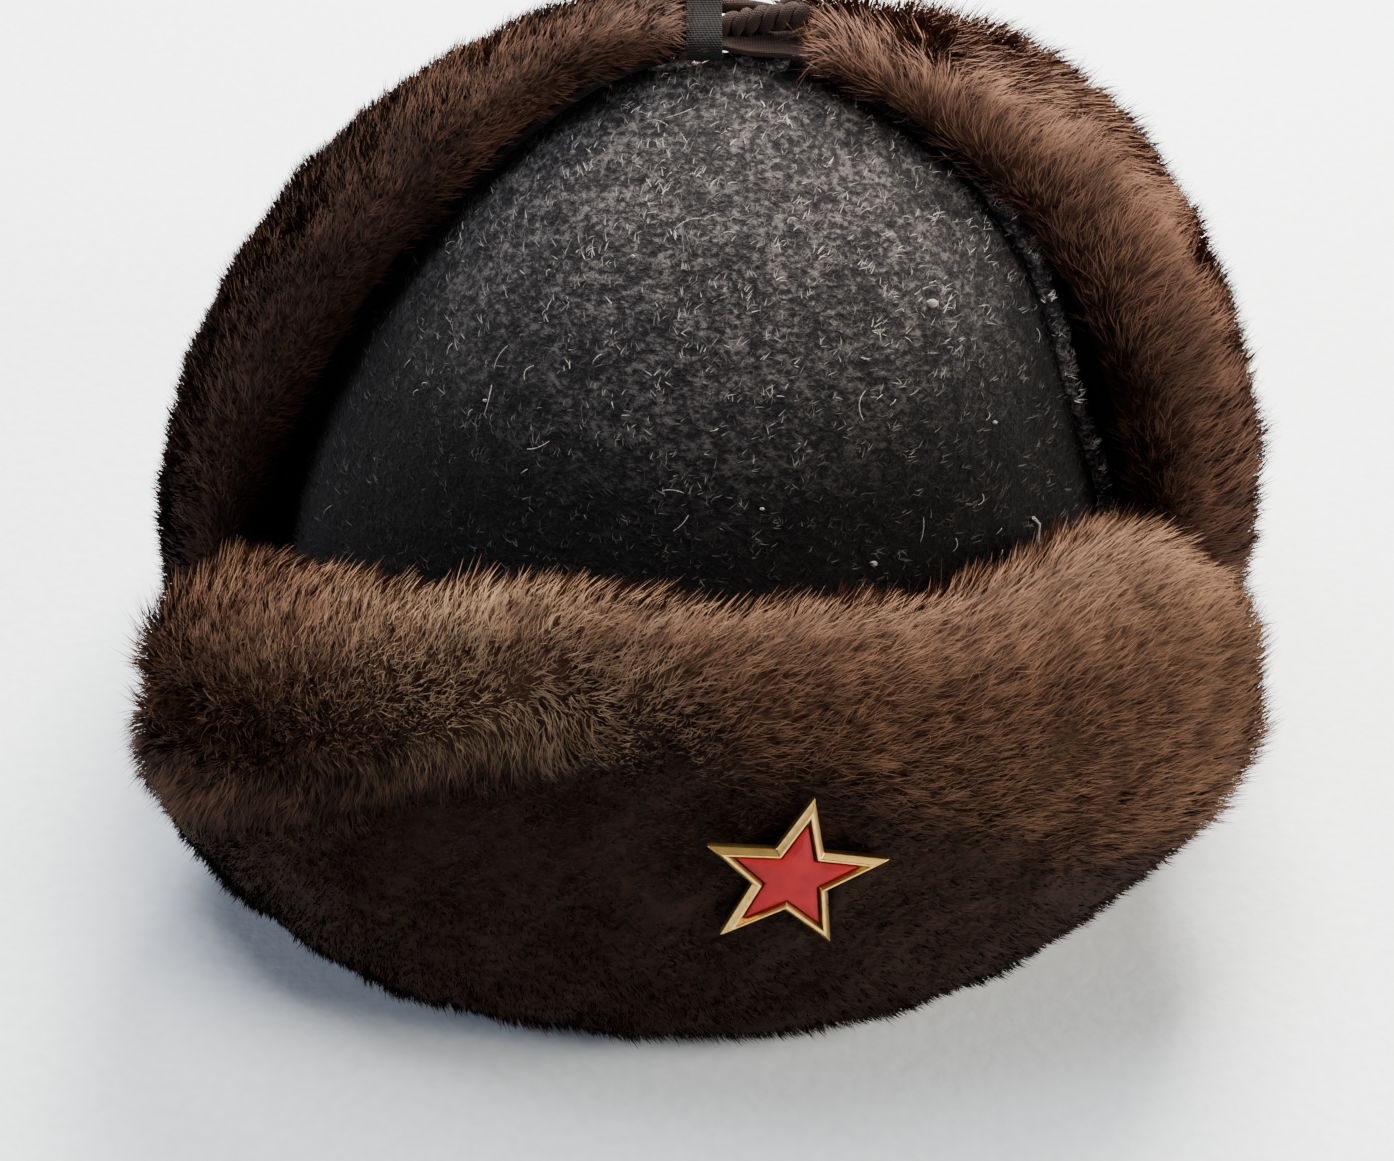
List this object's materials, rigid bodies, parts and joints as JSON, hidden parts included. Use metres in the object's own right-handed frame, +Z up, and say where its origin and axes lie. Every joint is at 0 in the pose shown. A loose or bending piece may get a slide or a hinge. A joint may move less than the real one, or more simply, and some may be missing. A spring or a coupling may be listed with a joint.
{
  "type": "fur winter hat",
  "caption": "Grey wool winter hat with brown fur flaps: front flap turned up with a red star badge, ear flaps tied over the crown.",
  "frame": {"origin": "middle of the hat's bounding box at the floor it stands on", "axes": "+Z up, the front with the star towards -Y, +X to the right of someone who faces the front"},
  "size_m": [0.2386, 0.2502, 0.1597],
  "materials": {
    "wool": "matt brushed wool",
    "fur": "soft dense pile",
    "dark_cloth": "matt",
    "gilt": "worn gilt",
    "enamel": "glossy enamel",
    "lace": "matt",
    "tape": "matt"
  },
  "bodies": {
    "root": {"crown_front": "wool", "crown_back": "wool", "ear_flap_left_fur": "fur", "ear_flap_left_cloth": "dark_cloth", "ear_flap_right_fur": "fur", "ear_flap_right_cloth": "dark_cloth", "neck_flap_fur": "fur", "neck_flap_cloth": "dark_cloth", "visor_fur": "fur", "visor_cloth": "wool", "star_rim": "gilt", "star_enamel": "enamel", "star_post": "gilt", "tie_lace": "lace", "tie_strap": "lace", "tie_tape": "tape"}
  },
  "joints": []
}
